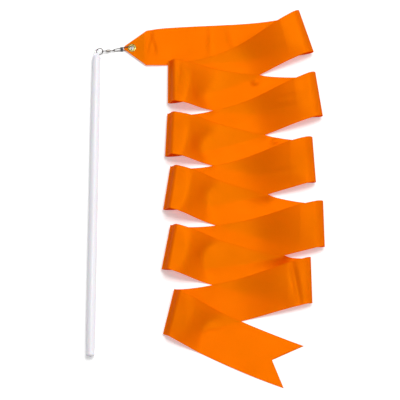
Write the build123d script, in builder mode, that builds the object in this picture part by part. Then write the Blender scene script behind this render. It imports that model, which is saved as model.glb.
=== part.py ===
"""Rhythmic ribbon wand: a moulded stick, a jump ring, a barrel swivel, a wire snap and a satin ribbon.

The wand lies flat on the ground. Lengths are in millimetres, +Z is up, the stick runs along Y and the
origin is on the ground, under the middle of the whole outline.
"""
import os
from math import asin, cos, pi, radians, sin, sqrt

from build123d import *

os.makedirs("parts", exist_ok=True)

# ---------------------------------------------------------------- driving dimensions: stick
stick_length = 348.0          # over all, tongue included
stick_r = 5.0                 # cylindrical grip
neck_r = 4.6                  # at the shoulder, where the stick meets its tongue
tail_r = 4.5                  # at the far end of the grip
neck_taper = 45.0             # length over which the neck grows to the full radius
tail_taper = 30.0             # length over which the tail draws in
end_round = 2.2               # rounding of both ends of the rod
gate_mark_r = 1.0             # moulding mark in the tail's end
gate_mark_depth = 0.4

tongue_width = 5.6
tongue_thickness = 1.5
shoulder_gap = 5.2            # from the tongue's hole back to the shoulder
tongue_hole_r = 1.95
tongue_edge = 0.35            # chamfer round the tongue

# ---------------------------------------------------------------- driving dimensions: metalwork
ring_r = 3.5                  # to the middle of the wire
ring_wire_r = 0.45
ring_gap_angle = 7.0          # the jump ring is bent shut, with a slit left
ring_gap_at = -62.0           # where the slit is, from the swivel, seen along the ring's axis

eye_r = 1.1                   # swivel eyes, to the middle of the wire
eye_wire_r = 0.3
swivel_length = 12.4          # between the middles of the two eyes
barrel_length = 6.4
barrel_r = 1.35
barrel_end_r = 0.85
barrel_bead = 1.1             # length of the narrow bead at each end of the barrel
barrel_wall = 0.35
neck_clearance = 0.06         # running fit of an eye's stem in the barrel
head_r = 0.62                 # upset head that keeps the stem in the barrel
head_length = 0.8
head_play = 0.12
wrap_r = 0.55                 # the stem's wire is wound back on itself beside the eye
wrap_turns = 2

snap_length = 20.5            # from the swivel's eye to the wire in the eyelet
snap_wire_r = 0.4
snap_small_r = 1.1            # bend that holds the swivel's eye
snap_large_r = 2.4            # bend that holds the eyelet
clasp_at = 9.0                # middle of the clasp, from the swivel's eye
clasp_length = 3.0
clasp_half_thickness = 0.7
clasp_margin = 0.10           # metal outside the wires
gate_root_r = 0.75
gate_pin_r = 0.24
gate_pin_clearance = 0.06
gate_play = 0.12              # room each side of the gate in the clasp
gate_tip_gap = 0.3            # from the gate's tip to the end of the snap wire

hardware_tilt = 45.0          # ring and snap lie turned this far up about the line of the chain
chain_yaw = 8.0               # the chain's direction on the ground, from +X
ground_gap = 0.05             # under the tilted snap

# ---------------------------------------------------------------- driving dimensions: ribbon
ribbon_width = 50.0
ribbon_thickness = 0.5
eyelet_hole_r = 2.5
eyelet_wall = 0.25
eyelet_flange_r = 4.6
eyelet_flange = 0.35
washer_thickness = 0.2
eyelet_roll = 0.15            # the barrel is rolled over the washer
tip_thickness = 0.8           # the end of the ribbon is folded and stitched
tip_margin = 4.5              # cloth beyond the flange, towards the snap
tip_round = 3.0               # rounding of the point of the tip
tip_length = 16.0             # from the eyelet to the end of the folded tip
tip_width = 41.5              # at the end of the folded tip
touch_down = 45.0             # length over which the ribbon comes down to the ground

zigzag_span = 160.0           # between the left and the right folds
zigzag_from_eyelet = 40.0     # from the eyelet to the line of the left folds
first_right_fold = 17.3       # middle of the first right fold, above the eyelet
first_left_fold = -41.7       # middle of the first left fold, above the eyelet
crest_in = 15.0               # top of a loop, from its outer edge
loop_run = 58.0               # where the upper layer is down again, from the outer edge
curl_in = 18.0                # where the lower layer leaves the ground, from the outer edge
layer_lift = 2.4              # an upper edge that crosses the pass below stands this high
lift_holds = 95.0             # it stays up this far from the fold
lift_ends = 152.0             # and is down again here
first_fold_rides = 1.2        # the first left fold lies on the lower edge of the first pass
tail_length = 144.5           # last pass, from the middle of its fold to the tips of the swallowtail
tail_direction = -24.2
tail_lean = -26.0
tail_notch = 24.0             # depth of the swallowtail
notch_direction = -18.0       # from the bottom of the notch to the middle of the tips
cut_past = 5.0                # the swallowtail's cutter reaches this far past the tips
bend = 0.3                    # how far an end slope carries into a pass, as a share of its length
start_slopes = (12, 0)
tail_slopes = (-20, -19)

# Folds, in order from the wand: how far the fold stands outside its line of the zigzag, the space
# below the fold before it on that side, the lean of the fold line from +Y, the loop height at the far
# and near ends, and the slopes of the pass that arrives and of the pass that leaves, far edge first.
folds = [
    dict(out=-5.0, space=0.0, lean=18.0, height=(20, 13), arrive=(20, 7), leave=(30, 21)),
    dict(out=-0.5, space=0.0, lean=0.0, height=(13, 17), arrive=(-5, 8), leave=(-8, -11)),
    dict(out=7.5, space=25.0, lean=8.5, height=(20, 13), arrive=(8, -2), leave=(21, 17)),
    dict(out=1.0, space=12.0, lean=-2.5, height=(13, 17), arrive=(-6, 5), leave=(-4, -7)),
    dict(out=0.5, space=26.0, lean=3.5, height=(19, 12), arrive=(3, -3), leave=(13, 16)),
    dict(out=0.0, space=11.0, lean=-8.5, height=(14, 18), arrive=(-9, 3), leave=(-11, -15)),
    dict(out=9.5, space=22.5, lean=1.0, height=(17, 11), arrive=(2, -3), leave=(12, 14)),
    dict(out=0.0, space=16.5, lean=-11.0, height=(12, 15), arrive=(-8, -2), leave=(-13, -19)),
    dict(out=-5.0, space=12.0, lean=1.0, height=(13, 9), arrive=(2, -6), leave=(17, 13)),
    dict(out=-3.0, space=21.0, lean=-14.5, height=(9, 8), arrive=(2, 3), leave=(-29, -29)),
]

# ---------------------------------------------------------------- the chain from the stick to the ribbon
tilt = radians(hardware_tilt)
eyelet_z = snap_large_r * sin(tilt) + snap_wire_r + ground_gap
lead_length = 2 * ring_r + swivel_length
lead_pitch = asin((stick_r - eyelet_z) / lead_length)
chain_length = lead_length * cos(lead_pitch) + snap_length
eyelet_from_hole = Vector(chain_length, 0).rotate(Axis.Z, chain_yaw)


def slope(angle):
    """Unit vector on the ground at an angle from +X."""
    return Vector(1, 0).rotate(Axis.Z, angle)


def same(length, other):
    """True if two lengths are equal, rounding apart."""
    return abs(length - other) < 1e-6


def ease(share):
    """1 at the start, 0 at the end, level at both."""
    return (1 + cos(pi * min(max(share, 0), 1))) / 2


# ---------------------------------------------------------------- the ribbon's edges on the ground
def fold_middle(index):
    """Middle of a fold's outer edge, from the hole in the tongue."""
    on_right = index % 2 == 0
    side = 1 if on_right else -1
    line = zigzag_from_eyelet + (zigzag_span if on_right else 0)
    first = first_right_fold if on_right else first_left_fold
    above = folds[index % 2 + 2:index + 1:2]
    drop = sum(ribbon_width + fold["space"] for fold in above)
    return eyelet_from_hole + Vector(line + side * folds[index]["out"], first - drop)


def across(middle, lean, width=ribbon_width):
    """Far and near ends of a line across the ribbon."""
    half = slope(90 + lean) * (width / 2)
    return middle + half, middle - half


fold_ends = [across(fold_middle(i), fold["lean"]) for i, fold in enumerate(folds)]
tip_ends = across(eyelet_from_hole + Vector(tip_length, 0), 0, tip_width)
tail_middle = fold_middle(len(folds) - 1) + slope(tail_direction) * tail_length
tail_ends = across(tail_middle, tail_lean)

left = -stick_r
right = max(end.X for ends in fold_ends for end in ends) + ribbon_thickness / 2
top = max(end.Y for ends in fold_ends for end in ends)
bottom = tail_ends[1].Y
hole = Vector(-(left + right) / 2, -(top + bottom) / 2)
eyelet_at = hole + eyelet_from_hole + Vector(0, 0, eyelet_z)

# ---------------------------------------------------------------- stick
shoulder_y = hole.Y - shoulder_gap
tongue_tip = hole.Y + tongue_width / 2
rod_end = tongue_tip - stick_length
tongue_plane = Plane.XY.offset(stick_r - tongue_thickness / 2)

with BuildPart() as stick:
    with BuildSketch(Plane.XY.offset(stick_r)):
        with BuildLine():
            Polyline(
                (hole.X, shoulder_y),
                (hole.X + neck_r, shoulder_y),
                (hole.X + stick_r, shoulder_y - neck_taper),
                (hole.X + stick_r, rod_end + tail_taper),
                (hole.X + tail_r, rod_end),
                (hole.X, rod_end),
                close=True,
            )
        make_face()
    revolve(axis=Axis((hole.X, 0, stick_r), (0, 1, 0)))
    rims = stick.edges().filter_by(GeomType.CIRCLE).group_by(Axis.Y)
    fillet(rims[0] + rims[-1], end_round)
    with BuildSketch(Plane((hole.X, rod_end, stick_r), z_dir=(0, 1, 0))):
        Circle(gate_mark_r)
    extrude(amount=gate_mark_depth, mode=Mode.SUBTRACT)
    with BuildSketch(tongue_plane):
        with Locations((hole.X, hole.Y)):
            Circle(tongue_width / 2)
        with Locations((hole.X, hole.Y)):
            Rectangle(tongue_width, shoulder_gap + end_round, align=(Align.CENTER, Align.MAX))
        with Locations((hole.X, hole.Y)):
            Circle(tongue_hole_r, mode=Mode.SUBTRACT)
    extrude(amount=tongue_thickness)
    round_edges = stick.edges().filter_by(GeomType.CIRCLE)
    chamfer(round_edges.filter_by(lambda edge: same(edge.radius, tongue_width / 2)), tongue_edge)
stick.part.label = "stick"
export_step(stick.part, "parts/stick.step")

# ---------------------------------------------------------------- jump ring
level = Vector(0, 1, 0).rotate(Axis.Z, chain_yaw)
lead_dir = slope(chain_yaw) * cos(lead_pitch) - Vector(0, 0, sin(lead_pitch))
lead_side = level.rotate(Axis((0, 0, 0), lead_dir), hardware_tilt)
lead = Plane(hole + Vector(0, 0, stick_r), x_dir=lead_dir, z_dir=lead_dir.cross(lead_side))

with BuildPart(lead) as jump_ring:
    with Locations((ring_r, 0, 0)):
        Torus(ring_r, ring_wire_r, major_angle=360 - ring_gap_angle,
              rotation=(0, 0, ring_gap_at + ring_gap_angle / 2))
jump_ring.part.label = "jump_ring"
export_step(jump_ring.part, "parts/jump_ring.step")

# ---------------------------------------------------------------- barrel swivel
front_eye_at = 2 * ring_r
rear_eye_at = front_eye_at + swivel_length
barrel_start = (front_eye_at + rear_eye_at - barrel_length) / 2
barrel_stop = barrel_start + barrel_length
shoulder = barrel_r - barrel_end_r
cavity_start = barrel_start + barrel_bead + shoulder
cavity_stop = barrel_stop - barrel_bead - shoulder
stem_bore_r = eye_wire_r + neck_clearance

with BuildPart() as swivel_barrel:
    with BuildSketch(lead):
        with BuildLine():
            Polyline(
                (barrel_start, 0),
                (barrel_start, barrel_end_r),
                (cavity_start - shoulder, barrel_end_r),
                (cavity_start, barrel_r),
                (cavity_stop, barrel_r),
                (cavity_stop + shoulder, barrel_end_r),
                (barrel_stop, barrel_end_r),
                (barrel_stop, 0),
                close=True,
            )
        make_face()
        with Locations(((barrel_start + barrel_stop) / 2, 0)):
            Rectangle(barrel_length, stem_bore_r, align=(Align.CENTER, Align.MIN), mode=Mode.SUBTRACT)
            Rectangle(cavity_stop - cavity_start, barrel_r - barrel_wall,
                      align=(Align.CENTER, Align.MIN), mode=Mode.SUBTRACT)
    revolve(axis=Axis(lead.origin, lead.x_dir))
swivel_barrel.part.label = "swivel_barrel"
export_step(swivel_barrel.part, "parts/swivel_barrel.step")


def swivel_eye(eye_at, towards_barrel, cavity_wall):
    """Wire eye with its wound stem and the head that turns inside the barrel."""
    upright = Plane(lead.from_local_coords((eye_at, 0, 0)), x_dir=lead.x_dir * towards_barrel,
                    z_dir=lead.y_dir)
    head_at = abs(cavity_wall - eye_at) + head_play
    with BuildPart(upright) as eye:
        Torus(eye_r, eye_wire_r)
        with BuildSketch(upright):
            with Locations((eye_r, 0)):
                Rectangle(head_at - eye_r, eye_wire_r, align=(Align.MIN, Align.MIN))
            with Locations((head_at, 0)):
                Rectangle(head_length, head_r, align=(Align.MIN, Align.MIN))
        revolve(axis=Axis(upright.origin, upright.x_dir))
        with BuildSketch(upright):
            for turn in range(wrap_turns):
                with Locations((eye_r + eye_wire_r * (2 * turn + 2), 0)):
                    Circle(wrap_r)
            Rectangle(2 * swivel_length, 4 * wrap_r, align=(Align.CENTER, Align.MAX),
                      mode=Mode.SUBTRACT)
        revolve(axis=Axis(upright.origin, upright.x_dir))
    return eye.part


swivel_front_eye = swivel_eye(front_eye_at, 1, cavity_start)
swivel_front_eye.label = "swivel_front_eye"
export_step(swivel_front_eye, "parts/swivel_front_eye.step")

swivel_rear_eye = swivel_eye(rear_eye_at, -1, cavity_stop)
swivel_rear_eye.label = "swivel_rear_eye"
export_step(swivel_rear_eye, "parts/swivel_rear_eye.step")

# ---------------------------------------------------------------- snap
snap_origin = lead.from_local_coords((rear_eye_at, 0, 0))
snap_dir = slope(chain_yaw)
snap_side = level.rotate(Axis((0, 0, 0), snap_dir), hardware_tilt)
snap = Plane(snap_origin, x_dir=snap_dir, z_dir=snap_dir.cross(snap_side))
small_at = snap_small_r
large_at = snap_length - snap_large_r
leg_slope = asin((snap_large_r - snap_small_r) / (large_at - small_at))


def on_leg(at, side):
    """Point of a leg's middle line at a distance along the snap, on the +1 or -1 side."""
    away = (snap_small_r + (at - small_at) * sin(leg_slope)) / cos(leg_slope)
    return at, side * away


small_touch = small_at - snap_small_r * sin(leg_slope), snap_small_r * cos(leg_slope)
large_touch = large_at - snap_large_r * sin(leg_slope), snap_large_r * cos(leg_slope)
clasp_start = clasp_at - clasp_length / 2
clasp_stop = clasp_at + clasp_length / 2
gate_pivot = on_leg(clasp_at + clasp_length / 2 - gate_root_r - gate_play, 1)
gate_tip_at = large_touch[0] - gate_tip_gap

with BuildPart() as snap_wire:
    with BuildLine(snap) as wire_path:
        Line(on_leg(clasp_start + clasp_margin, 1), small_touch)
        ThreePointArc(small_touch, (0, 0), (small_touch[0], -small_touch[1]))
        Line((small_touch[0], -small_touch[1]), (large_touch[0], -large_touch[1]))
        ThreePointArc((large_touch[0], -large_touch[1]), (snap_length, 0), large_touch)
    with BuildSketch(Plane(wire_path.line @ 0, z_dir=wire_path.line % 0)):
        Circle(snap_wire_r)
    sweep()
snap_wire.part.label = "snap_wire"
export_step(snap_wire.part, "parts/snap_wire.step")

clasp_low = on_leg(clasp_stop, -1)[1] - snap_wire_r - clasp_margin
clasp_high = on_leg(clasp_stop, 1)[1] + snap_wire_r + clasp_margin
slot_half = snap_wire_r + gate_play

with BuildPart() as snap_clasp:
    with BuildSketch(snap.offset(-clasp_half_thickness)):
        with Locations((clasp_at, (clasp_low + clasp_high) / 2)):
            RectangleRounded(clasp_length, clasp_high - clasp_low, snap_wire_r)
    extrude(amount=2 * clasp_half_thickness)
    with BuildSketch(snap.offset(-slot_half)):
        with Locations(gate_pivot):
            Circle(gate_root_r + gate_play)
            Rectangle(clasp_length, 2 * clasp_length, align=(Align.MIN, Align.CENTER))
            with Locations((-gate_root_r, 0)):
                Rectangle(clasp_length, clasp_length, align=(Align.MIN, Align.MIN))
        with Locations((clasp_stop, 0)):
            Rectangle(clasp_length, clasp_length, mode=Mode.SUBTRACT, align=(Align.MIN, Align.MAX))
    extrude(amount=2 * slot_half, mode=Mode.SUBTRACT)
    with BuildSketch(snap.offset(-clasp_half_thickness)):
        with Locations(gate_pivot):
            Circle(gate_pin_r)
    extrude(amount=2 * clasp_half_thickness)
    add(snap_wire.part, mode=Mode.SUBTRACT)
snap_clasp.part.label = "snap_clasp"
export_step(snap_clasp.part, "parts/snap_clasp.step")

with BuildPart() as snap_gate:
    with BuildLine(snap) as gate_path:
        Line(gate_pivot, on_leg(gate_tip_at, 1))
    with BuildSketch(Plane(gate_path.line @ 0, z_dir=gate_path.line % 0)):
        Circle(snap_wire_r)
    sweep()
    with BuildSketch(snap.offset(-snap_wire_r)):
        with Locations(gate_pivot):
            Circle(gate_root_r)
    extrude(amount=2 * snap_wire_r)
    with BuildSketch(snap.offset(-clasp_half_thickness)):
        with Locations(gate_pivot):
            Circle(gate_pin_r + gate_pin_clearance)
    extrude(amount=2 * clasp_half_thickness, mode=Mode.SUBTRACT)
snap_gate.part.label = "snap_gate"
export_step(snap_gate.part, "parts/snap_gate.step")

# ---------------------------------------------------------------- eyelet
eyelet_axis = Axis(eyelet_at, (0, 0, 1))
eyelet_plane = Plane(eyelet_at, x_dir=(1, 0, 0), z_dir=(0, -1, 0))
eyelet_outer_r = eyelet_hole_r + eyelet_wall
eyelet_foot = -(tip_thickness / 2 + washer_thickness)
roll_width = (eyelet_flange_r - eyelet_outer_r) / 2

with BuildPart() as eyelet:
    with BuildSketch(eyelet_plane):
        with Locations((eyelet_hole_r, eyelet_foot - eyelet_roll)):
            Rectangle(eyelet_wall, tip_thickness / 2 - eyelet_foot + eyelet_roll + eyelet_flange / 2,
                      align=(Align.MIN, Align.MIN))
            Rectangle(eyelet_wall + roll_width, eyelet_roll, align=(Align.MIN, Align.MIN))
        with BuildLine():
            flange_foot = Line((eyelet_hole_r, tip_thickness / 2), (eyelet_flange_r, tip_thickness / 2))
            ThreePointArc(flange_foot @ 1, flange_foot @ 0.5 + Vector(0, eyelet_flange), flange_foot @ 0)
        make_face()
    revolve(axis=eyelet_axis)
eyelet.part.label = "eyelet"
export_step(eyelet.part, "parts/eyelet.step")

with BuildPart() as eyelet_washer:
    with BuildSketch(Plane(eyelet_at).offset(eyelet_foot)):
        Circle(eyelet_flange_r)
        Circle(eyelet_outer_r, mode=Mode.SUBTRACT)
    extrude(amount=washer_thickness)
eyelet_washer.part.label = "eyelet_washer"
export_step(eyelet_washer.part, "parts/eyelet_washer.step")


# ---------------------------------------------------------------- ribbon
def pass_edge(start, start_direction, stop, stop_direction):
    """Curve that one edge of a pass follows on the ground."""
    reach = (stop - start).length * bend
    return start, start + start_direction * reach, stop - stop_direction * reach, stop


def on_curve(controls, share):
    """Point of a cubic curve."""
    weights = ((1 - share) ** 3, 3 * share * (1 - share) ** 2, 3 * share**2 * (1 - share), share**3)
    point = Vector()
    for control, weight in zip(controls, weights):
        point += control * weight
    return point


def lifted(at, crest, lift):
    """Height of the upper layer at a distance from its fold's outer edge."""
    if at < crest_in:
        return crest * (1 + sqrt(1 - (1 - at / crest_in) ** 2)) / 2
    return lift + (crest - lift) * ease((at - crest_in) / (loop_run - crest_in))


def curled(at, crest, lift):
    """Height of the lower layer at a distance from the outer edge of the fold ahead."""
    if at >= curl_in:
        return lift
    return lift + (crest / 2 - lift) * (1 - sqrt(1 - (1 - at / curl_in) ** 2))


crest_steps = 5
slope_steps = 6
flat_steps = 5
curl_steps = 6


def stations(length, leaves_fold, meets_fold):
    """Distances along a pass at which the ribbon gets a cross-section."""
    found = []
    flat_from, flat_to = 0.0, length
    if leaves_fold:
        found += [crest_in * (1 - cos(pi / 2 * i / crest_steps)) for i in range(crest_steps)]
        found += [crest_in + (loop_run - crest_in) * i / slope_steps for i in range(slope_steps)]
        flat_from = loop_run
    if meets_fold:
        flat_to = length - curl_in
    found += [flat_from + (flat_to - flat_from) * i / flat_steps for i in range(flat_steps + 1)]
    if meets_fold:
        found += [length - curl_in * (1 - sin(pi / 2 * i / curl_steps)) for i in range(1, curl_steps)]
    return found


def pass_points(index):
    """Far and near edge points of the pass that arrives at a fold; the last pass has no fold."""
    travel = slope(0) * (1 if index % 2 == 0 else -1)
    starts = fold_ends[index - 1] if index > 0 else tip_ends
    stops = fold_ends[index] if index < len(folds) else tail_ends
    leave = folds[index - 1]["leave"] if index > 0 else start_slopes
    arrive = folds[index]["arrive"] if index < len(folds) else tail_slopes
    middle_length = ((starts[0] + starts[1]) / 2 - (stops[0] + stops[1]) / 2).length
    edges = []
    for edge in (0, 1):
        controls = pass_edge(
            starts[edge], travel.rotate(Axis.Z, leave[edge]), stops[edge],
            travel.rotate(Axis.Z, arrive[edge]),
        )
        points = []
        for at in stations(middle_length, index > 0, index < len(folds)):
            ground = hole + on_curve(controls, at / middle_length)
            points.append(ground + Vector(0, 0, height_over_ground(index, edge, at, middle_length)))
        edges.append(points)
    return list(zip(*edges))


def height_over_ground(index, edge, at, length):
    """Height of the ribbon's middle surface."""
    rest = ribbon_thickness / 2
    stays_up = first_fold_rides if index == 1 and edge == 0 else 0
    lift = 0
    if index == 0:
        return rest + (eyelet_z - rest) * ease(at / touch_down) + curled_part(index, edge, at, length, 0)
    if edge == 0:
        lift = stays_up + (layer_lift - stays_up) * ease((at - lift_holds) / (lift_ends - lift_holds))
    height = lifted(at, folds[index - 1]["height"][edge], lift) if at < loop_run else lift
    return rest + height + curled_part(index, edge, at, length, stays_up)


def curled_part(index, edge, at, length, lift):
    """What the next fold's loop adds to the height."""
    if index == len(folds):
        return 0
    return curled(length - at, folds[index]["height"][edge], lift) - lift


def cross_section(before, here, after):
    """Plane across the ribbon, with its X along the section from the near to the far edge."""
    far, near = here
    across_dir = (far - near).normalized()
    travel = (after[0] + after[1]) - (before[0] + before[1])
    along = travel - across_dir * travel.dot(across_dir)
    return Plane((far + near) / 2, x_dir=across_dir, z_dir=along), (far - near).length


run = []
for index in range(len(folds) + 1):
    run += pass_points(index)

with BuildPart() as ribbon:
    for i, here in enumerate(run):
        plane, width = cross_section(run[max(i - 1, 0)], here, run[min(i + 1, len(run) - 1)])
        with BuildSketch(plane):
            Rectangle(width, ribbon_thickness)
    loft(ruled=True)
    with BuildSketch(Plane(eyelet_at).offset(-tip_thickness / 2)) as tip:
        with Locations((-eyelet_flange_r - tip_margin + tip_round, 0)):
            Circle(tip_round)
        with Locations((tip_length, 0)):
            Rectangle(ribbon_thickness, tip_width)
        make_hull()
    extrude(amount=tip_thickness)
    with BuildSketch(Plane(eyelet_at).offset(-tip_thickness)):
        Circle(eyelet_outer_r)
    extrude(amount=2 * tip_thickness, mode=Mode.SUBTRACT)
    with BuildSketch(Plane.XY):
        with BuildLine():
            far_tip, near_tip = hole + tail_ends[0], hole + tail_ends[1]
            notch_floor = hole + tail_middle - slope(notch_direction) * tail_notch
            past = slope(tail_lean) * cut_past
            Polyline(far_tip, notch_floor, near_tip, near_tip + past, far_tip + past, close=True)
        make_face()
    extrude(amount=2 * ribbon_thickness, mode=Mode.SUBTRACT)
ribbon.part.label = "ribbon"
export_step(ribbon.part, "parts/ribbon.step")
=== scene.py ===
"""Rhythmic ribbon wand: the looks of its stick, metalwork and satin ribbon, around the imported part."""
import math

import bmesh
import bpy
import numpy as np
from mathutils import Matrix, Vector, noise
from mathutils.bvhtree import BVHTree


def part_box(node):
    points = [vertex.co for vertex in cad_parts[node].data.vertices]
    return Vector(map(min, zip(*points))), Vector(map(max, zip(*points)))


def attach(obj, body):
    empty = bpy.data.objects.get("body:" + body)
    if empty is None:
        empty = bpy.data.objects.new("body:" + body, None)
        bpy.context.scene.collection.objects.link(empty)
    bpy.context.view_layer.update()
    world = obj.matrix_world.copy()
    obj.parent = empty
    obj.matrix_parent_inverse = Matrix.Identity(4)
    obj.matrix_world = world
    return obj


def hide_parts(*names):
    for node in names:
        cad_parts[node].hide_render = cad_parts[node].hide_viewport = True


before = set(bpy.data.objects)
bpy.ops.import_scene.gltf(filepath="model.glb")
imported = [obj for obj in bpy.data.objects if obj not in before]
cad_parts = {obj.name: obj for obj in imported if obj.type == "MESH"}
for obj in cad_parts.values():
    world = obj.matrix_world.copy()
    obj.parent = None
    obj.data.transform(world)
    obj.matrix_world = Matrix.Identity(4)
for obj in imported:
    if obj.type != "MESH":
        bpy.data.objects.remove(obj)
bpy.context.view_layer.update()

# ------------------------------------------------------------------------------ cloth, in metres
ribbon_width = 0.050
cloth = 0.00022                # thickness of the satin
thread_spacing = 0.00032       # of the threads that run along the ribbon
pick_spacing = 0.00055         # of the threads that cross it
selvage_dense = 0.0004         # width of the dense edge of the weave
selvage_end = 0.0012           # where it has thinned out into the rest
layer_gap = 0.00042            # between the middles of two layers that lie on each other
ground_gap = 0.00018           # from the ground to the middle of the lowest layer

# ------------------------------------------------------------------------------ folded tip
tip_length = 0.016             # from the eyelet to the end of the folded tip
tip_width = 0.0415             # at that end
tip_reach = 0.0091             # from the eyelet to the point of the tip
tip_round = 0.003              # rounding of the point
tip_point = 0.0002             # half the width of the first row, at the very point
tip_thickness = 0.0008         # the cloth is folded under itself there, into three layers
tip_layer = 0.00029            # between the middles of those layers
tip_inset = 0.0003             # how far the sides of the layers underneath stand back
inner_layer_short = 0.0015     # how much sooner than the tip the middle layer ends
back_layer_short = 0.0008      # and the lowest one
hole_radius = 0.0029           # of the hole that the eyelet goes through
touch_down = 0.045             # length over which the ribbon comes down to the ground

# ------------------------------------------------------------------------------ line of the ribbon
zigzag_span = 0.160            # between the lines of the left and the right folds
zigzag_from_eyelet = 0.040     # from the eyelet to the line of the left folds
first_right_fold = 0.0173      # middle of the first right fold, in +Y from the eyelet
first_left_fold = -0.0417      # middle of the first left fold, in +Y from the eyelet
bend = 0.3                     # how far an end slope carries into a pass, as a share of its length
start_slopes = (12, 0)         # of the first pass where it leaves the tip, far edge first
tail_length = 0.1447           # last pass, from the middle of its fold to the tips of the swallowtail
tail_direction = -24.2
tail_lean = -26.0
tail_slopes = (-20, -19)
tail_notch = 0.024
notch_direction = -18.0

# Folds, in order from the wand: how far the fold stands outside its line of the zigzag, the space
# below the fold before it on that side, the lean of the fold line from +Y, the loop height at the far
# and near ends, and the slopes of the pass that arrives and of the pass that leaves, far edge first.
folds = [
    dict(out=-0.0050, space=0.0, lean=18.0, height=(0.020, 0.013), arrive=(20, 7), leave=(30, 21)),
    dict(out=-0.0005, space=0.0, lean=0.0, height=(0.013, 0.017), arrive=(-5, 8), leave=(-8, -11)),
    dict(out=0.0075, space=0.0250, lean=8.5, height=(0.020, 0.013), arrive=(8, -2), leave=(21, 17)),
    dict(out=0.0010, space=0.0120, lean=-2.5, height=(0.013, 0.017), arrive=(-6, 5), leave=(-4, -7)),
    dict(out=0.0005, space=0.0260, lean=3.5, height=(0.019, 0.012), arrive=(3, -3), leave=(13, 16)),
    dict(out=0.0, space=0.0110, lean=-8.5, height=(0.014, 0.018), arrive=(-9, 3), leave=(-11, -15)),
    dict(out=0.0095, space=0.0225, lean=1.0, height=(0.017, 0.011), arrive=(2, -3), leave=(12, 14)),
    dict(out=0.0004, space=0.0165, lean=-10.5, height=(0.015, 0.015), arrive=(-8, -2), leave=(-13, -19)),
    dict(out=-0.0050, space=0.0120, lean=1.0, height=(0.013, 0.009), arrive=(2, -6), leave=(17, 13)),
    dict(out=-0.0028, space=0.0205, lean=-13.5, height=(0.014, 0.008), arrive=(2, 3), leave=(-29, -29)),
]

# ------------------------------------------------------------------------------ shape of the cloth
# Upper layer of a loop, from its outer edge: the height of that edge as a share of the crest, where the
# layer is level, the middle of its fall at the near and at the far edge, half the length of the fall
# where it is steepest, the share of the width at which that is, and how much the fall grows away from it.
right_loop = dict(rim=0.5, crest_in=0.013, fall_at=(0.044, 0.058), fall_half=0.034, steepest=0.5, fan=1.2)
left_loop = dict(rim=0.3, crest_in=0.009, fall_at=(0.034, 0.042), fall_half=0.018, steepest=0.4, fan=2.6)
curl_in = 0.018                # where the lower layer leaves the ground, from the outer edge

# Creases and dents: the pass they are on, the distance along it and the share of its width of their
# middle, their direction from the pass, half their length and width, and the height they add.
creases = [
    dict(on=0, at=0.0035, share=0.70, turn=82, half_length=0.012, half_width=0.0030, height=-0.0016),
    dict(on=0, at=0.0090, share=0.50, turn=97, half_length=0.010, half_width=0.0028, height=-0.0012),
    dict(on=0, at=0.073, share=0.55, turn=84, half_length=0.020, half_width=0.0032, height=0.0005),
    dict(on=0, at=0.096, share=0.62, turn=95, half_length=0.018, half_width=0.0040, height=0.0006),
    dict(on=2, at=0.098, share=0.80, turn=40, half_length=0.0036, half_width=0.0026, height=0.0016),
    dict(on=2, at=0.014, share=0.70, turn=85, half_length=0.016, half_width=0.0022, height=-0.0004),
    dict(on=3, at=0.036, share=0.66, turn=12, half_length=0.014, half_width=0.0020, height=-0.0005),
    dict(on=3, at=0.046, share=0.50, turn=16, half_length=0.015, half_width=0.0022, height=-0.0005),
    dict(on=4, at=0.121, share=0.90, turn=35, half_length=0.0060, half_width=0.0026, height=0.0012),
    dict(on=5, at=0.040, share=0.42, turn=10, half_length=0.016, half_width=0.0030, height=-0.0006),
    dict(on=9, at=0.019, share=0.52, turn=79, half_length=0.026, half_width=0.0034, height=-0.0022),
    dict(on=2, at=0.039, share=0.30, turn=75, half_length=0.012, half_width=0.0090, height=-0.0032),
    dict(on=4, at=0.042, share=0.42, turn=66, half_length=0.015, half_width=0.0090, height=-0.0048),
    dict(on=6, at=0.047, share=0.62, turn=73, half_length=0.013, half_width=0.0080, height=-0.0030),
    dict(on=8, at=0.047, share=0.60, turn=72, half_length=0.014, half_width=0.0100, height=-0.0050),
    dict(on=10, at=0.047, share=0.50, turn=84, half_length=0.016, half_width=0.0100, height=-0.0042),
]
settle = 0.7                   # how softly a dent comes down on what lies below, as a share of its depth

ripple_height = 0.0005         # unevenness of cloth that lies loose
ripple_length = 0.055
ripples_across = 1.4           # over the ribbon's width
ripple_step = (7.3, 3.1)       # from the part of the noise that one pass takes to that of the next
fine_ripple = 0.4              # height of the finer ripples, as a share
fine_scale = 2.3               # how much finer they are
loop_middle = 0.035            # the ripples are higher round here, measured from the start of the pass
loop_ripple = 1.6              # and by this share more
ripple_after_tip = 0.03        # length over which the ripples come in
ripple_after_fold = 0.02

# ------------------------------------------------------------------------------ rows and columns of points
dense_run = 0.012              # up to this distance from a fold's outer edge the rows are closest together
loop_run = 0.082               # and up to this one they are still closer than on the flat
crest_steps, slope_steps, curl_steps = 14, 42, 14
flat_spacing = 0.0015
tip_steps = 22
tip_bunching = 1.3             # how much closer the rows are towards the point of the tip
edge_columns = [0.0, 0.0003, 0.0010, 0.0022]
inner_columns = 26

# ------------------------------------------------------------------------------ laying a pass on those below
look_down_from = 0.1           # a height above everything
joined = 0.004                 # up to this distance from a fold the cloth is still one with the pass below
parting = 0.006                # length over which it then takes its distance from that pass
spread_after = 0.012           # beyond this distance from a fold, the highest neighbour holds the cloth up
smooth_after = 0.03            # smoothing starts at this distance from the fold behind
smooth_before = 0.004          # and stops at this distance from the fold ahead
smooth_times, smooth_share = 45, 0.6

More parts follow.
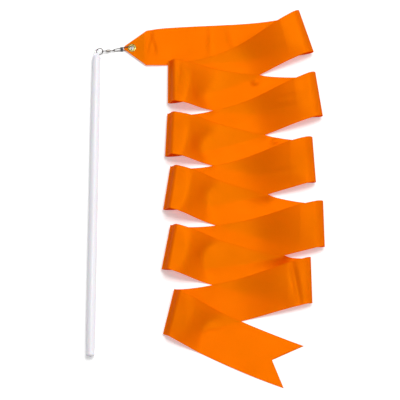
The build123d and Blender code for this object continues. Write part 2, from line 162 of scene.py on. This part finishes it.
# ------------------------------------------------------------------------------ stage
camera_distance = 1.7
camera_height = 73.0           # degrees above the ground, from the wand's near side
camera_lens = 140.8
aim = Vector((-0.0075, -0.0057, 0))
floor_half = 3.0               # half the floor's side
floor_glow = 0.28              # what the floor adds for the camera, under the object
fade_from, fade_to = 0.6, 1.6  # distances over which the floor fades into the white surroundings
world_light = 0.35             # strength of the surroundings as light

eyelet_low, eyelet_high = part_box("eyelet")
eyelet_at = (eyelet_low + eyelet_high) / 2
eyelet_at.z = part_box("eyelet_washer")[1].z + tip_thickness / 2     # middle of the folded tip
eyelet_ground = Vector((eyelet_at.x, eyelet_at.y, 0))


# ------------------------------------------------------------------------------ nodes and materials
class Nodes:
    """Node tree of a material or of the world, filled one node at a time."""

    def __init__(self, owner):
        self.owner = owner
        owner.use_nodes = True
        self.tree = owner.node_tree

    @staticmethod
    def material(name):
        return Nodes(bpy.data.materials.new(name))

    def put(self, socket, value):
        """Links an output to a socket, or sets the socket to a plain value."""
        if isinstance(value, bpy.types.NodeSocket):
            self.tree.links.new(value, socket)
        else:
            socket.default_value = value

    def add(self, kind, inputs=None, **settings):
        node = self.tree.nodes.new(kind)
        for key, value in settings.items():
            setattr(node, key, value)
        for key, value in (inputs or {}).items():
            self.put(node.inputs[key], value)
        return node

    def value(self, operation, *inputs):
        """Result of a Math node."""
        return self.add("ShaderNodeMath", dict(enumerate(inputs)), operation=operation).outputs[0]

    def total(self, *parts):
        """Sum of values, each times its share."""
        terms = [self.value("MULTIPLY", value, share) for value, share in parts]
        result = terms[0]
        for term in terms[1:]:
            result = self.value("ADD", result, term)
        return result

    def between(self, value, start, stop, low=0.0, high=1.0):
        """value from start to stop, as a smooth step from low to high."""
        node = self.add("ShaderNodeMapRange", {0: value, 1: start, 2: stop, 3: low, 4: high},
                        interpolation_type="SMOOTHSTEP")
        return node.outputs[0]

    def tint(self, share, first, second):
        """Mix of two colours."""
        return self.add("ShaderNodeMix", {0: share, 6: first, 7: second}, data_type="RGBA").outputs[2]

    def grain(self, vector, scale, detail=2.0, roughness=0.5):
        """Noise, from 0 to 1."""
        node = self.add("ShaderNodeTexNoise", {"Vector": vector, "Scale": scale, "Detail": detail,
                                               "Roughness": roughness})
        return node.outputs[0]

    def stretch(self, vector, scale):
        return self.add("ShaderNodeMapping", {"Vector": vector, "Scale": scale}).outputs[0]

    def bump(self, height, distance, strength):
        inputs = {"Height": height, "Distance": distance, "Strength": strength}
        return self.add("ShaderNodeBump", inputs).outputs[0]

    def finish(self, **sockets):
        """Sets or links the shader's own sockets."""
        shader = self.tree.nodes["Principled BSDF"]
        for name, value in sockets.items():
            self.put(shader.inputs[name.replace("_", " ")], value)
        return self.owner


def satin(name, bright, deep, rim, through, roughness, shine, see_through):
    """Satin: floating threads along the ribbon, faint slubs, and a dense selvage at both edges."""
    nodes = Nodes.material(name)
    cloth_map = nodes.add("ShaderNodeUVMap", uv_map="cloth").outputs[0]
    split = nodes.add("ShaderNodeSeparateXYZ", {0: cloth_map})
    across, along = split.outputs[0], split.outputs[1]
    broad = nodes.grain(cloth_map, scale=28.0, detail=3.0)
    streaks = nodes.grain(nodes.stretch(cloth_map, (1500.0, 30.0, 1.0)), scale=1.0, detail=3.0)
    slubs = nodes.grain(nodes.stretch(cloth_map, (160.0, 900.0, 1.0)), scale=1.0)
    threads = nodes.value("SINE", nodes.value("MULTIPLY", across, 2 * math.pi / thread_spacing))
    picks = nodes.value("SINE", nodes.value("MULTIPLY", along, 2 * math.pi / pick_spacing))
    weave = nodes.value("MULTIPLY", nodes.value("ADD", threads, 1.0), nodes.value("ADD", picks, 3.5))
    mottle = nodes.total((broad, 0.55), (streaks, 0.3), (slubs, 0.15))
    body = nodes.tint(nodes.between(mottle, 0.3, 0.7), deep, bright)
    edge = nodes.value("MINIMUM", across, nodes.value("SUBTRACT", ribbon_width, across))
    selvage = nodes.between(edge, selvage_dense, selvage_end, low=1.0, high=0.0)
    colour = nodes.tint(selvage, body, rim)
    rough = nodes.between(streaks, 0.3, 0.7, low=roughness - 0.04, high=roughness + 0.05)
    relief = nodes.total((weave, 0.1), (slubs, 0.5), (selvage, 0.6))
    normal = nodes.bump(relief, distance=0.00006, strength=0.5)
    nodes.finish(Base_Color=colour, Roughness=rough, Normal=normal, Metallic=shine, Specular_IOR_Level=0.0)
    glow = nodes.add("ShaderNodeBsdfTranslucent", {"Color": through, "Normal": normal})
    surface = nodes.tree.nodes["Principled BSDF"]
    mix = nodes.add("ShaderNodeMixShader", {0: see_through, 1: surface.outputs[0], 2: glow.outputs[0]})
    nodes.put(nodes.tree.nodes["Material Output"].inputs["Surface"], mix.outputs[0])
    return nodes.owner


def plastic():
    """Glossy white moulded plastic, with a faint parting line along both sides of the stick."""
    nodes = Nodes.material("white_plastic")
    place = nodes.add("ShaderNodeTexCoord").outputs["Object"]
    split = nodes.add("ShaderNodeSeparateXYZ", {0: place})
    haze = nodes.grain(nodes.stretch(place, (1.0, 0.25, 1.0)), scale=60.0, detail=3.0)
    peel = nodes.grain(place, scale=900.0)
    stick_low, stick_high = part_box("stick")
    middle = (stick_low.z + stick_high.z) / 2
    off_line = nodes.value("ABSOLUTE", nodes.value("SUBTRACT", split.outputs[2], middle))
    parting_line = nodes.between(off_line, 0.00005, 0.0002, low=1.0, high=0.0)
    white = nodes.tint(haze, (0.86, 0.86, 0.91, 1.0), (0.91, 0.89, 0.94, 1.0))
    rough = nodes.between(haze, 0.3, 0.7, low=0.34, high=0.46)
    relief = nodes.total((peel, 0.15), (parting_line, 1.0))
    normal = nodes.bump(relief, distance=0.00005, strength=0.6)
    return nodes.finish(Base_Color=white, Roughness=rough, Normal=normal, Subsurface_Weight=0.15,
                        Subsurface_Scale=0.002, IOR=1.49)


def metal(name, bright, dull, roughness):
    """Plated metal: clear, with fine wear and darker plating in patches."""
    nodes = Nodes.material(name)
    place = nodes.add("ShaderNodeTexCoord").outputs["Object"]
    patches = nodes.grain(place, scale=700.0, detail=3.0)
    scratches = nodes.grain(nodes.stretch(place, (1.0, 6.0, 3.0)), scale=1750.0, detail=4.0, roughness=0.7)
    colour = nodes.tint(nodes.between(patches, 0.35, 0.65), dull, bright)
    rough = nodes.between(scratches, 0.35, 0.7, low=roughness, high=roughness + 0.16)
    normal = nodes.bump(scratches, distance=0.00003, strength=0.4)
    return nodes.finish(Base_Color=colour, Roughness=rough, Metallic=1.0, Normal=normal)


# ------------------------------------------------------------------------------ ribbon: its line
def heading(angle):
    """Unit vector on the ground, at an angle from +X."""
    return Vector((math.cos(math.radians(angle)), math.sin(math.radians(angle)), 0))


def ease(share):
    """1 at the start, 0 at the end, level at both."""
    return (1 + math.cos(math.pi * min(max(share, 0), 1))) / 2


def fall(share):
    """1 at the start, 0 at the end, with no curve left at either."""
    t = min(max(share, 0), 1)
    return 1 - t**3 * (t * (6 * t - 15) + 10)


def fold_middle(index):
    """Middle of a fold's outer edge, on the ground."""
    on_right = index % 2 == 0
    side = 1 if on_right else -1
    line = zigzag_from_eyelet + (zigzag_span if on_right else 0)
    first = first_right_fold if on_right else first_left_fold
    above = folds[index % 2 + 2:index + 1:2]
    drop = sum(ribbon_width + fold["space"] for fold in above)
    return eyelet_ground + Vector((line + side * folds[index]["out"], first - drop, 0))


def across_at(middle, lean, width=ribbon_width):
    """Far and near ends of a line across the ribbon."""
    half = heading(90 + lean) * (width / 2)
    return middle + half, middle - half


fold_ends = [across_at(fold_middle(i), fold["lean"]) for i, fold in enumerate(folds)]
tip_ends = across_at(eyelet_ground + Vector((tip_length, 0, 0)), 0, tip_width)
tail_middle = fold_middle(len(folds) - 1) + heading(tail_direction) * tail_length
tail_ends = across_at(tail_middle, tail_lean)
notch_floor = tail_middle - heading(notch_direction) * tail_notch
tail_zone = 2 * tail_notch     # the notch is within this distance of the tail's middle

edge_width = edge_columns[-1]
inner_width = ribbon_width - 2 * edge_width
columns = [*edge_columns]
columns += [edge_width + inner_width * (i + 1) / (inner_columns + 1) for i in range(inner_columns)]
columns += [ribbon_width - place for place in reversed(edge_columns)]
shares = np.array(columns) / ribbon_width       # from the near edge to the far edge


def on_curve(start, start_direction, stop, stop_direction, share):
    """Point of the curve that one edge of a pass follows on the ground."""
    reach = (stop - start).length * bend
    a, b = start + start_direction * reach, stop - stop_direction * reach
    back = 1 - share
    return start * back**3 + a * (3 * share * back**2) + b * (3 * share**2 * back) + stop * share**3


def stations(length, leaves_fold, meets_fold):
    """Distances along a pass at which the cloth gets a row of points."""
    found = []
    flat_from, flat_to = 0.0, length
    if leaves_fold:
        found += [dense_run * (1 - math.cos(math.pi / 2 * i / crest_steps)) for i in range(crest_steps)]
        found += [dense_run + (loop_run - dense_run) * i / slope_steps for i in range(slope_steps)]
        flat_from = loop_run
    if meets_fold:
        flat_to = length - curl_in
    flat_steps = math.ceil((flat_to - flat_from) / flat_spacing)
    found += [flat_from + (flat_to - flat_from) * i / flat_steps for i in range(flat_steps + 1)]
    if meets_fold:
        found += [length - curl_in * (1 - math.sin(math.pi / 2 * i / curl_steps))
                  for i in range(1, curl_steps)]
    return found


# ------------------------------------------------------------------------------ ribbon: its heights
def lifted(at, crest, share, on_right):
    """Height of the upper layer at a distance from its fold's outer edge, and at a share of the width."""
    loop = right_loop if on_right else left_loop
    if at < loop["crest_in"]:
        share_in = at / loop["crest_in"]
        rise = math.sqrt(1 - (1 - share_in) ** 2) if on_right else 1 - fall(share_in)
        return crest * (loop["rim"] + (1 - loop["rim"]) * rise)
    near, far = loop["fall_at"]
    middle = near + (far - near) * share
    half = loop["fall_half"] * (1 + loop["fan"] * (share - loop["steepest"]) ** 2)
    return crest * fall((at - middle + half) / (2 * half))


def curled(at, crest, on_right):
    """Height of the lower layer at a distance from the outer edge of the fold ahead."""
    if at >= curl_in:
        return 0
    loop = right_loop if on_right else left_loop
    return crest * loop["rim"] * (1 - math.sqrt(1 - (1 - at / curl_in) ** 2))


def crumple(index, at, share):
    """Height of the creases and dents at a point of a pass."""
    height = 0
    for crease in creases:
        if crease["on"] == index:
            offset = Vector((at - crease["at"], (share - crease["share"]) * ribbon_width, 0))
            line = heading(crease["turn"])
            along, aside = offset.dot(line), offset.cross(line).z
            far_out = (along / crease["half_length"]) ** 2 + (aside / crease["half_width"]) ** 2
            height += crease["height"] * math.exp(-far_out)
    return height


def ripple(index, at, share):
    """Slight unevenness of cloth that lies loose."""
    along = at / ripple_length + ripple_step[0] * index
    place = Vector((along, share * ripples_across + ripple_step[1] * index, 0.5))
    in_loop = 1 + loop_ripple * fall(abs(at - loop_middle) / loop_middle)
    return ripple_height * in_loop * (noise.noise(place) + fine_ripple * noise.noise(place * fine_scale))


def pass_rows(index):
    """Points of the pass that arrives at a fold, row by row, near edge first; and the rows' distances."""
    travel = 0 if index % 2 == 0 else 180
    starts = fold_ends[index - 1] if index > 0 else tip_ends
    stops = fold_ends[index] if index < len(folds) else tail_ends
    leave_slopes = folds[index - 1]["leave"] if index > 0 else start_slopes
    arrive_slopes = folds[index]["arrive"] if index < len(folds) else tail_slopes
    leave = [heading(travel + slope) for slope in leave_slopes]
    arrive = [heading(travel + slope) for slope in arrive_slopes]
    loose_after = ripple_after_fold if index > 0 else ripple_after_tip
    length = ((starts[0] + starts[1]) / 2 - (stops[0] + stops[1]) / 2).length
    found = stations(length, index > 0, index < len(folds))
    rows = []
    for at in found:
        far, near = (on_curve(starts[k], leave[k], stops[k], arrive[k], at / length) for k in (0, 1))
        row = []
        for share in shares:
            point = near.lerp(far, share)
            height = 0
            if index > 0:
                crests = folds[index - 1]["height"]
                height += lifted(at, crests[1] + (crests[0] - crests[1]) * share, share, index % 2 == 1)
            else:
                height += (eyelet_at.z + tip_layer - ground_gap) * ease(at / touch_down)
            if index < len(folds):
                crests = folds[index]["height"]
                height += curled(length - at, crests[1] + (crests[0] - crests[1]) * share, index % 2 == 0)
            height += ripple(index, at, share) * ease((loose_after - at) / loose_after)
            row.append(point + Vector((0, 0, ground_gap + height)))
        rows.append(row)
    return np.array(rows), found, length


def highest_near(heights):
    """At each point, the highest of that point and its eight neighbours."""
    padded = np.pad(heights, 1, mode="edge")
    count, wide = heights.shape
    return np.max([padded[i:i + count, j:j + wide] for i in range(3) for j in range(3)], axis=0)


def laid_on(rows, index, found, length, below):
    """The rows, raised where they would sink into the ground or the layers below, and eased over them."""
    held = np.full(rows.shape[:2], ground_gap)
    if below:
        for i, at in enumerate(found):
            for j in range(rows.shape[1]):
                above = Vector((rows[i, j, 0], rows[i, j, 1], look_down_from))
                hit = below.ray_cast(above, Vector((0, 0, -1)))[0]
                if hit:
                    held[i, j] = hit.z + layer_gap * (1 - ease((at - joined) / parting))
    past_fold = np.array([at > spread_after for at in found])[:, None]
    held = np.where(past_fold, highest_near(held), held)
    height = np.maximum(rows[:, :, 2], held)
    free = np.array([float(at > smooth_after and length - at > smooth_before) for at in found])[:, None]
    for _ in range(smooth_times):
        padded = np.pad(height, 1, mode="edge")
        mean = (padded[:-2, 1:-1] + padded[2:, 1:-1] + padded[1:-1, :-2] + padded[1:-1, 2:]) / 4
        height = np.maximum(height + smooth_share * free * (mean - height), held)
    creased = np.array([[crumple(index, at, share) for share in shares] for at in found])
    clear = height + creased - held
    rows[:, :, 2] = held + (clear + np.hypot(clear, settle * creased)) / 2
    return rows


def tip_rows(above, inset, length):
    """Rows of one layer of the folded tip, from its point to a distance from the eyelet."""
    centre = -tip_reach + tip_round
    span = tip_length - centre
    half = tip_width / 2
    tangent = math.atan2(half, span) - math.asin(tip_round / math.hypot(span, half))
    touch = centre - tip_round * math.sin(tangent)
    rows, found = [], []
    for i in range(tip_steps):
        x = -tip_reach + (length + tip_reach) * (i / tip_steps) ** tip_bunching
        if x < touch:
            reach = math.sqrt(max(tip_round**2 - (x - centre) ** 2, 0))
        else:
            reach = half - (tip_length - x) * math.tan(tangent)
        reach = max(reach - inset, tip_point)
        rows.append([eyelet_at + Vector((x, (2 * t - 1) * reach, above)) for t in shares])
        found.append(x)
    return np.array(rows), found


# ------------------------------------------------------------------------------ ribbon: its meshes
def grid_faces(count, wide, start):
    """Faces between the rows of a grid of points, whose first point has the index start."""
    return [(start + i * wide + j, start + i * wide + j + 1, start + (i + 1) * wide + j + 1,
             start + (i + 1) * wide + j) for i in range(count - 1) for j in range(wide - 1)]


def cloth_object(name, rows, rows_along, look):
    """Mesh of the rows, with the distance across and along the ribbon as its map."""
    mesh = bpy.data.meshes.new(name)
    count, wide = rows.shape[:2]
    mesh.from_pydata([tuple(p) for p in rows.reshape(-1, 3)], [], grid_faces(count, wide, 0))
    layer = mesh.uv_layers.new(name="cloth")
    for loop in mesh.loops:
        i, j = divmod(loop.vertex_index, wide)
        layer.data[loop.index].uv = (columns[j], rows_along[i])
    mesh.materials.append(look)
    mesh.shade_smooth()
    piece = bpy.data.objects.new(name, mesh)
    bpy.context.scene.collection.objects.link(piece)
    return piece


def make_ribbon(look):
    """The whole ribbon as one sheet, pass after pass, each laid over those before it; and its length."""
    tip, along = tip_rows(tip_layer, 0, tip_length)
    all_rows = [tip]
    run = tip_length
    below = None
    points, faces = [], []
    for index in range(len(folds) + 1):
        rows, found, length = pass_rows(index)
        rows = laid_on(rows, index, found, length, below)
        faces += grid_faces(rows.shape[0], rows.shape[1], len(points))
        points += [tuple(p) for p in rows.reshape(-1, 3)]
        below = BVHTree.FromPolygons(points, faces)
        all_rows.append(rows)
        along += [run + at for at in found]
        run += length
    ribbon = cloth_object("ribbon_satin", np.concatenate(all_rows), along, look)
    cut_ribbon(ribbon)
    thicken(ribbon)
    return ribbon, run


def make_tip_layer(name, above, length, look):
    """One of the layers folded under the tip."""
    rows, found = tip_rows(above, tip_inset, length)
    layer = cloth_object(name, rows, found, look)
    mesh = bmesh.new()
    mesh.from_mesh(layer.data)
    cut_hole(mesh, above)
    mesh.to_mesh(layer.data)
    mesh.free()
    thicken(layer)
    return layer


def thicken(piece):
    """Gives the sheet the thickness of the cloth."""
    solid = piece.modifiers.new("thickness", "SOLIDIFY")
    solid.thickness = cloth
    solid.offset = 0
    view = bpy.context.evaluated_depsgraph_get()
    mesh = bpy.data.meshes.new_from_object(piece.evaluated_get(view))
    piece.modifiers.clear()
    piece.data = mesh


def cut_hole(mesh, above):
    """Takes the eyelet's hole out of a layer of the tip."""
    centre = eyelet_at + Vector((0, 0, above))
    gone = [f for f in mesh.faces if (f.calc_center_median() - centre).length < hole_radius]
    bmesh.ops.delete(mesh, geom=gone, context="FACES")


def cut_ribbon(ribbon):
    """Takes the swallowtail's notch and the hole under the eyelet out of the sheet."""
    mesh = bmesh.new()
    mesh.from_mesh(ribbon.data)
    for tip in tail_ends:
        line = (tip - notch_floor).normalized()
        side = Vector((-line.y, line.x, 0))
        near_tail = [f for f in mesh.faces if (f.calc_center_median() - tail_middle).length < tail_zone]
        edges = {e for f in near_tail for e in f.edges}
        verts = {v for f in near_tail for v in f.verts}
        bmesh.ops.bisect_plane(mesh, geom=[*near_tail, *edges, *verts], plane_co=notch_floor, plane_no=side)
    first = (tail_ends[0] - notch_floor).to_2d()
    second = (tail_ends[1] - notch_floor).to_2d()
    turn = first.x * second.y - first.y * second.x
    gone = []
    for f in mesh.faces:
        middle = f.calc_center_median()
        place = (middle - notch_floor).to_2d()
        a = (place.x * second.y - place.y * second.x) / turn
        b = (first.x * place.y - first.y * place.x) / turn
        if a > 0 and b > 0 and (middle - tail_middle).length < tail_zone:
            gone.append(f)
    bmesh.ops.delete(mesh, geom=gone, context="FACES")
    cut_hole(mesh, tip_layer)
    mesh.to_mesh(ribbon.data)
    mesh.free()


# ------------------------------------------------------------------------------ making the pieces
orange = satin("orange_satin", bright=(0.83, 0.236, 0.001, 1.0), deep=(0.77, 0.215, 0.0, 1.0),
               rim=(0.78, 0.202, 0.0, 1.0), through=(1.0, 0.27, 0.02, 1.0),
               roughness=0.47, shine=0.36, see_through=0.47)
ribbon, run = make_ribbon(orange)
inner_layer = make_tip_layer("tip_inner_layer", 0, tip_length - inner_layer_short, orange)
back_layer = make_tip_layer("tip_back_layer", -tip_layer, tip_length - back_layer_short, orange)
for piece in (ribbon, inner_layer, back_layer):
    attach(piece, "ribbon")
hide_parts("ribbon")

# The nickel colours are far darker than bright plating: painted reflection of dark surroundings on the wire,
# eyes, barrel and clasp plate.
nickel = metal("nickel_wire", bright=(0.15, 0.13, 0.12, 1.0), dull=(0.055, 0.048, 0.042, 1.0), roughness=0.16)
barrel = metal("nickel_barrel", bright=(0.22, 0.20, 0.18, 1.0), dull=(0.08, 0.07, 0.06, 1.0), roughness=0.14)
plate = metal("nickel_plate", bright=(0.13, 0.13, 0.14, 1.0), dull=(0.04, 0.04, 0.05, 1.0), roughness=0.24)
brass = metal("eyelet_brass", bright=(0.42, 0.34, 0.10, 1.0), dull=(0.14, 0.11, 0.03, 1.0), roughness=0.2)
pale_brass = metal("washer_brass", bright=(0.8, 0.63, 0.3, 1.0), dull=(0.6, 0.44, 0.2, 1.0), roughness=0.3)
finishes = {
    "stick": plastic(),
    "jump_ring": nickel,
    "swivel_front_eye": nickel,
    "swivel_rear_eye": nickel,
    "swivel_barrel": barrel,
    "snap_wire": nickel,
    "snap_gate": nickel,
    "snap_clasp": plate,
    "eyelet": brass,
    "eyelet_washer": pale_brass,
}
for name, look in finishes.items():
    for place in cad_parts[name].material_slots:
        place.material = look


# ------------------------------------------------------------------------------ floor, light, camera
def seen_share(nodes):
    """1 where the camera looks, straight, in a reflection or through something clear; 0 for light."""
    path = nodes.add("ShaderNodeLightPath")
    straight_or_glossy = nodes.value("MAXIMUM", path.outputs["Is Camera Ray"], path.outputs["Is Glossy Ray"])
    return nodes.value("MAXIMUM", straight_or_glossy, path.outputs["Is Transmission Ray"])


def make_floor():
    """A plain white floor that keeps the shadows, and fades into the white surroundings."""
    low, high = -floor_half, floor_half
    mesh = bpy.data.meshes.new("floor")
    mesh.from_pydata([(low, low, 0), (high, low, 0), (high, high, 0), (low, high, 0)], [], [(0, 1, 2, 3)])
    piece = bpy.data.objects.new("floor", mesh)
    bpy.context.scene.collection.objects.link(piece)
    nodes = Nodes.material("floor_white")
    place = nodes.add("ShaderNodeTexCoord").outputs["Object"]
    away = nodes.add("ShaderNodeVectorMath", {0: place}, operation="LENGTH").outputs["Value"]
    faded = nodes.between(away, fade_from, fade_to, low=floor_glow, high=1.0)
    glow = nodes.value("MULTIPLY", seen_share(nodes), faded)
    nodes.finish(Base_Color=(0.93, 0.93, 0.93, 1.0), Roughness=0.9, Specular_IOR_Level=0.0,
                 Emission_Color=(1.0, 1.0, 1.0, 1.0), Emission_Strength=glow)
    mesh.materials.append(nodes.owner)


def make_world():
    """White surroundings, seen whole by the camera and by reflections, and dimmer as light."""
    studio = bpy.data.worlds.new("studio")
    nodes = Nodes(studio)
    background = nodes.tree.nodes["Background"]
    levels = {"Value": seen_share(nodes), "To Min": world_light, "To Max": 1.0}
    strength = nodes.add("ShaderNodeMapRange", levels).outputs[0]
    nodes.put(background.inputs["Strength"], strength)
    nodes.put(background.inputs["Color"], (1.0, 1.0, 1.0, 1.0))
    bpy.context.scene.world = studio


def softbox(name, place, size, watts):
    """A square lamp that faces the middle of the wand."""
    lamp = bpy.data.lights.new(name, "AREA")
    lamp.shape = "SQUARE"
    lamp.size = size
    lamp.energy = watts
    holder = bpy.data.objects.new(name, lamp)
    holder.location = place
    holder.rotation_euler = (-Vector(place)).to_track_quat("-Z", "Y").to_euler()
    bpy.context.scene.collection.objects.link(holder)


make_floor()
make_world()
softbox("key", place=(0.6, 0.95, 2.78), size=1.3, watts=55.0)
softbox("side", place=(2.4, 0.5, 1.2), size=1.0, watts=9.0)

camera = bpy.data.objects.new("camera", bpy.data.cameras.new("camera"))
camera.data.lens = camera_lens
tilt = math.radians(camera_height)
camera.location = aim + Vector((0, -math.cos(tilt), math.sin(tilt))) * camera_distance
camera.rotation_euler = (aim - camera.location).to_track_quat("-Z", "Y").to_euler()
bpy.context.scene.collection.objects.link(camera)
bpy.context.scene.camera = camera
bpy.context.scene.view_settings.view_transform = "Standard"
